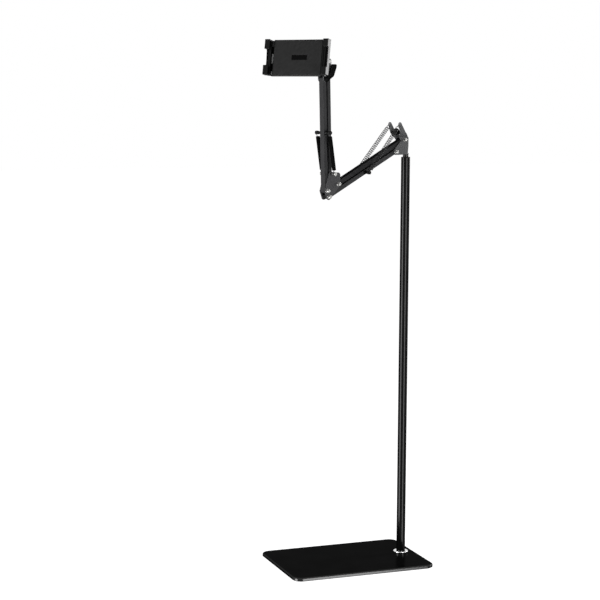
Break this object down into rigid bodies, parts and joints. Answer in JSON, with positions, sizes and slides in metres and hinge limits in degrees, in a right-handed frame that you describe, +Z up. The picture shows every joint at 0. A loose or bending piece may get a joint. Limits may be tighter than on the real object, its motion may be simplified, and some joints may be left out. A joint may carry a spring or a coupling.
{
  "type": "tablet floor stand",
  "caption": "Tablet floor stand with a slab base, a jointed pole, a spring-balanced folding arm and a sliding clamp on a ball joint.",
  "frame": {"origin": "centre of the slab's rest face on the floor", "axes": "+Z up along the pole, +X along the slab's long side towards the pole, -Y towards the picture's viewer"},
  "size_m": [0.457, 0.3841, 1.2888],
  "materials": {
    "base_paint": "gloss",
    "black_rubber": "matte",
    "chrome": "polished",
    "zinc_steel": "satin",
    "pin_steel": "gloss",
    "plug_steel": "satin",
    "pole_paint": "satin",
    "black_nylon": "matte",
    "sheet_paint": "satin",
    "bar_paint": "satin",
    "spring_steel": "polished",
    "wing_plastic": "satin",
    "ball_chrome": "polished",
    "liner_nylon": "matte",
    "holder_plastic": "satin",
    "plate_plastic": "fine texture",
    "badge_gloss": "gloss",
    "rail_nylon": "matte"
  },
  "bodies": {
    "stand": {"base_plate": "base_paint", "base_pad": "black_rubber", "foot_ring": "chrome", "base_bolt": "zinc_steel", "foot_insert": "plug_steel", "pole_lower": "pole_paint", "joint_plug_lower": "plug_steel", "joint_stud": "zinc_steel", "joint_plug_upper": "plug_steel", "pole_upper": "pole_paint", "top_bush": "black_nylon"},
    "yoke": {"yoke_pin": "pin_steel", "yoke_bracket": "sheet_paint", "yoke_buffer": "black_rubber", "yoke_bolts": "zinc_steel", "yoke_nuts": "zinc_steel"},
    "lower_springs": {"lower_spring_near": "spring_steel", "lower_spring_far": "spring_steel"},
    "lower_arm": {"lower_bar": "bar_paint", "lower_bar_plugs": "black_nylon", "lower_peg": "black_nylon"},
    "top_link": {"top_bar": "bar_paint", "top_bar_plugs": "black_nylon"},
    "elbow": {"elbow_plate_near": "sheet_paint", "elbow_plate_far": "sheet_paint", "elbow_bolts": "zinc_steel", "elbow_nuts": "zinc_steel", "elbow_long_bolt": "zinc_steel"},
    "sleeves": {"spring_sleeves": "black_rubber"},
    "upper_springs": {"upper_spring_near": "spring_steel", "upper_spring_far": "spring_steel"},
    "upper_arm": {"front_bar": "bar_paint", "front_bar_plugs": "black_nylon", "upper_peg": "black_nylon"},
    "rear_link": {"rear_bar": "bar_paint", "rear_bar_plugs": "black_nylon"},
    "head": {"head_bracket": "sheet_paint", "head_bolt": "zinc_steel", "head_nut": "zinc_steel", "wing_nut": "pin_steel", "ball_stud": "ball_chrome", "stud_nut": "zinc_steel"},
    "wing": {"wing_stud": "zinc_steel", "wing_handle": "wing_plastic"},
    "liner": {"ball_liner": "liner_nylon"},
    "socket": {"socket": "holder_plastic", "socket_screw": "zinc_steel"},
    "ring": {"lock_ring": "holder_plastic"},
    "holder": {"holder_shell": "holder_plastic", "front_plate": "plate_plastic", "badge": "badge_gloss", "shell_screws": "zinc_steel", "right_jaw": "holder_plastic", "right_pads": "black_rubber", "return_spring": "spring_steel"},
    "jaw": {"left_jaw": "holder_plastic", "left_pads": "black_rubber", "slide_rails": "rail_nylon"}
  },
  "joints": [
    {"name": "swivel", "type": "hinge", "parent": "stand", "child": "yoke", "pos_m": [0.1475, 0, 1.0094], "axis": [0, 0, 1], "continuous": true},
    {"name": "lower_arm_lift", "type": "hinge", "parent": "yoke", "child": "lower_arm", "pos_m": [0.10445, -0.021, 1.0247], "axis": [-0.4384, 0.8988, 0], "range_deg": [-2, 38], "deforming": ["lower_spring_near", "lower_spring_far"]},
    {"name": "top_link_turn", "type": "hinge", "parent": "yoke", "child": "top_link", "pos_m": [0.1333, -0.00693, 1.0533], "axis": [-0.4384, 0.8988, 0], "range_deg": [-2, 38]},
    {"name": "elbow_level", "type": "hinge", "parent": "lower_arm", "child": "elbow", "pos_m": [-0.11145, -0.1263, 0.9252], "axis": [0.4384, -0.8988, 0], "range_deg": [-2, 38]},
    {"name": "upper_arm_lean", "type": "hinge", "parent": "elbow", "child": "upper_arm", "pos_m": [-0.1172, -0.1291, 0.9389], "axis": [0.4384, -0.8988, 0], "range_deg": [-2.5, 75], "deforming": ["upper_spring_near", "upper_spring_far"]},
    {"name": "rear_link_turn", "type": "hinge", "parent": "elbow", "child": "rear_link", "pos_m": [-0.10507, -0.12319, 0.9789], "axis": [0.4384, -0.8988, 0], "range_deg": [-2.5, 75]},
    {"name": "head_level", "type": "hinge", "parent": "upper_arm", "child": "head", "pos_m": [-0.12495, -0.13288, 1.19876], "axis": [-0.4384, 0.8988, 0], "range_deg": [-2.5, 75]},
    {"name": "lower_spring_swing", "type": "hinge", "parent": "yoke", "child": "lower_springs", "pos_m": [0.10975, -0.01841, 1.0911], "axis": [-0.4384, 0.8988, 0], "range_deg": [-2, 29]},
    {"name": "sleeve_swing", "type": "hinge", "parent": "elbow", "child": "sleeves", "pos_m": [-0.10507, -0.12319, 0.9789], "axis": [0.4384, -0.8988, 0], "range_deg": [-3, 85]},
    {"name": "upper_spring_swing", "type": "hinge", "parent": "upper_arm", "child": "upper_springs", "pos_m": [-0.12126, -0.13108, 1.07483], "axis": [0.4384, -0.8988, 0], "range_deg": [-0.5, 9.5]},
    {"name": "wing_screw", "type": "hinge", "parent": "head", "child": "wing", "pos_m": [-0.11969, -0.14367, 1.19876], "axis": [0.4384, -0.8988, 0], "range_deg": [0, 360]},
    {"name": "ball_pan", "type": "hinge", "parent": "head", "child": "liner", "pos_m": [-0.18149, -0.16046, 1.24176], "axis": [0, 0, 1], "range_deg": [-44, 16]},
    {"name": "ball_tilt", "type": "hinge", "parent": "liner", "child": "socket", "pos_m": [-0.18149, -0.16046, 1.24176], "axis": [0.6428, -0.766, 0], "range_deg": [-15, 34]},
    {"name": "holder_roll", "type": "hinge", "parent": "socket", "child": "holder", "pos_m": [-0.18149, -0.16046, 1.24176], "axis": [-0.7562, -0.6345, 0.1599], "continuous": true},
    {"name": "lock_ring_turn", "type": "hinge", "parent": "socket", "child": "ring", "pos_m": [-0.18149, -0.16046, 1.24176], "axis": [-0.7562, -0.6345, 0.1599], "range_deg": [0, 90]},
    {"name": "jaw_slide", "type": "slide", "parent": "holder", "child": "jaw", "axis": [-0.6428, 0.766, 0], "range_m": [-0.0065, 0.06], "deforming": ["return_spring"]}
  ],
  "couplings": [
    {"joint": "top_link_turn", "follows": "lower_arm_lift", "ratio": 1},
    {"joint": "elbow_level", "follows": "lower_arm_lift", "ratio": 1},
    {"joint": "rear_link_turn", "follows": "upper_arm_lean", "ratio": 1},
    {"joint": "head_level", "follows": "upper_arm_lean", "ratio": 1},
    {"joint": "lower_spring_swing", "follows": "lower_arm_lift", "ratio": 0.7426},
    {"joint": "sleeve_swing", "follows": "upper_arm_lean", "ratio": 1.1062},
    {"joint": "upper_spring_swing", "follows": "upper_arm_lean", "ratio": 0.1062}
  ]
}
